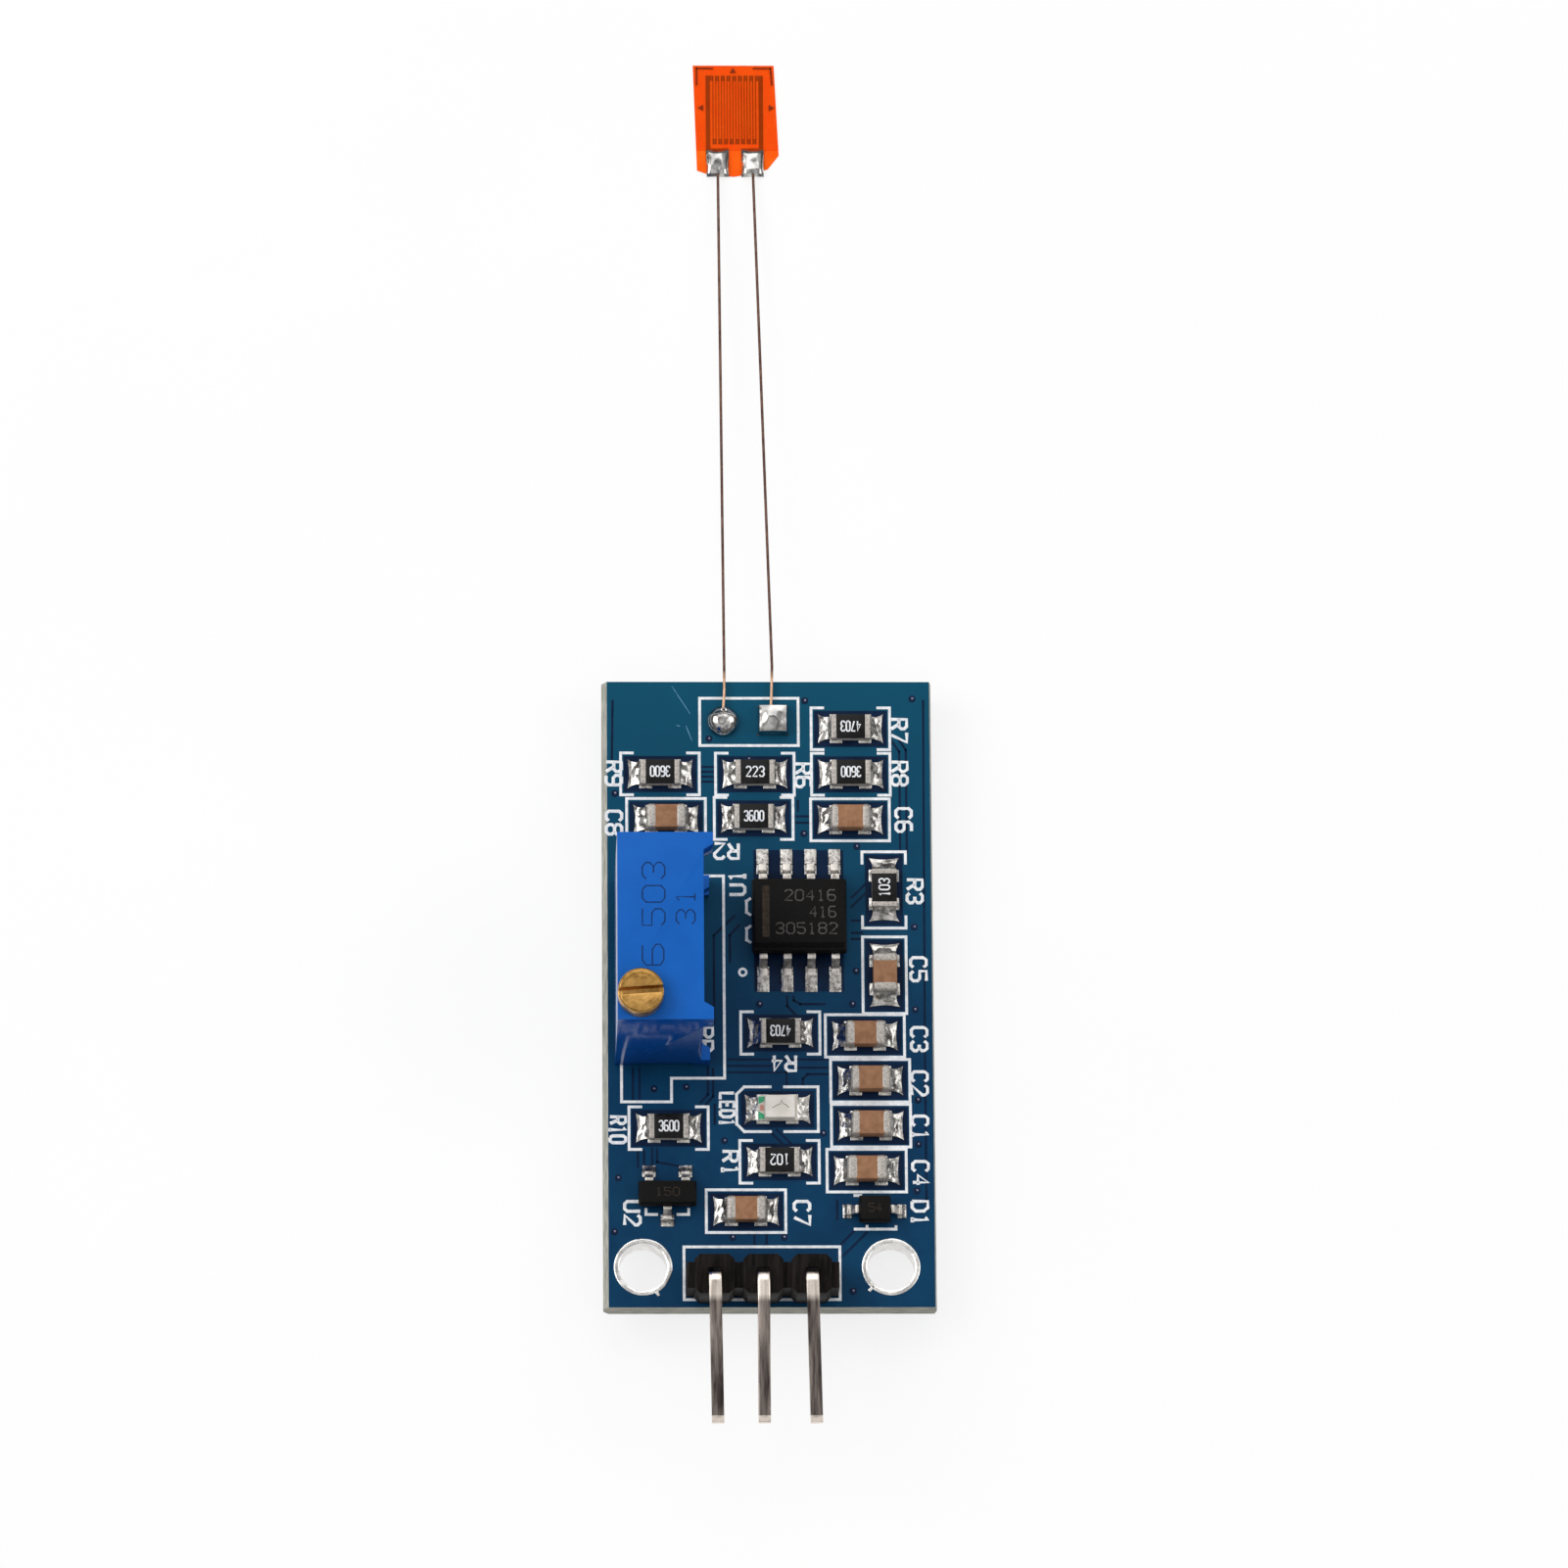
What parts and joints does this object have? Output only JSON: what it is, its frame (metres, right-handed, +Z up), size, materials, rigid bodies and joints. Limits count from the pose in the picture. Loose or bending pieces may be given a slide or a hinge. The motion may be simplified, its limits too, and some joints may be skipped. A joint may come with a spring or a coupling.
{
  "type": "strain gauge amplifier module",
  "caption": "Small blue circuit board with surface-mount parts, a top-adjust trimmer, a bent pin header and a foil strain gauge on two bare leads.",
  "frame": {"origin": "midpoint between the two mounting holes, on the underside of the board, where it seats on its standoffs", "axes": "+X across the board from the trimmer's side to the capacitors' side, +Y along the board from the pin header towards the gauge, +Z up through the component side, along the mounting holes"},
  "size_m": [0.0175, 0.0762, 0.014],
  "materials": {
    "board": "gloss",
    "printing": "matte",
    "resistor": "satin",
    "capacitor": "satin",
    "lamp_base": "satin",
    "lens": "satin",
    "moulding": "matte",
    "trimmer": "satin",
    "brass": "satin",
    "tin": "bright",
    "wire": "satin",
    "film": "gloss",
    "foil": "satin"
  },
  "bodies": {
    "module": {"circuit_board": "board", "hole_plating": "tin", "printed_outlines": "printing", "resistor_r1": "resistor", "resistor_r2": "resistor", "resistor_r3": "resistor", "resistor_r4": "resistor", "resistor_r6": "resistor", "resistor_r7": "resistor", "resistor_r8": "resistor", "resistor_r9": "resistor", "resistor_r10": "resistor", "capacitor_c1": "capacitor", "capacitor_c2": "capacitor", "capacitor_c3": "capacitor", "capacitor_c4": "capacitor", "capacitor_c5": "capacitor", "capacitor_c6": "capacitor", "capacitor_c7": "capacitor", "capacitor_c8": "capacitor", "resistor_solder": "tin", "capacitor_solder": "tin", "lamp_base": "lamp_base", "lamp_lens": "lens", "lamp_solder": "tin", "amplifier_body": "moulding", "amplifier_leads": "tin", "amplifier_solder": "tin", "regulator_body": "moulding", "regulator_leads": "tin", "regulator_solder": "tin", "diode_body": "moulding", "diode_leads": "tin", "diode_solder": "tin", "trimmer_housing": "trimmer", "trimmer_pins": "tin", "trimmer_solder": "tin", "header_housing": "moulding", "header_pin_1": "tin", "header_pin_2": "tin", "header_pin_3": "tin", "header_solder": "tin", "terminal_solder_round": "tin", "terminal_solder_square": "tin", "lead_left": "wire", "lead_right": "wire", "gauge_backing": "film", "gauge_foil": "foil", "gauge_cover": "film", "gauge_solder_left": "tin", "gauge_solder_right": "tin"},
    "adjusting_screw": {"trimmer_screw": "brass"}
  },
  "joints": [
    {"name": "screw_turn", "type": "hinge", "parent": "module", "child": "adjusting_screw", "pos_m": [-0.00675, 0.01219, 0.0117], "axis": [0, 0, 1], "continuous": true}
  ]
}
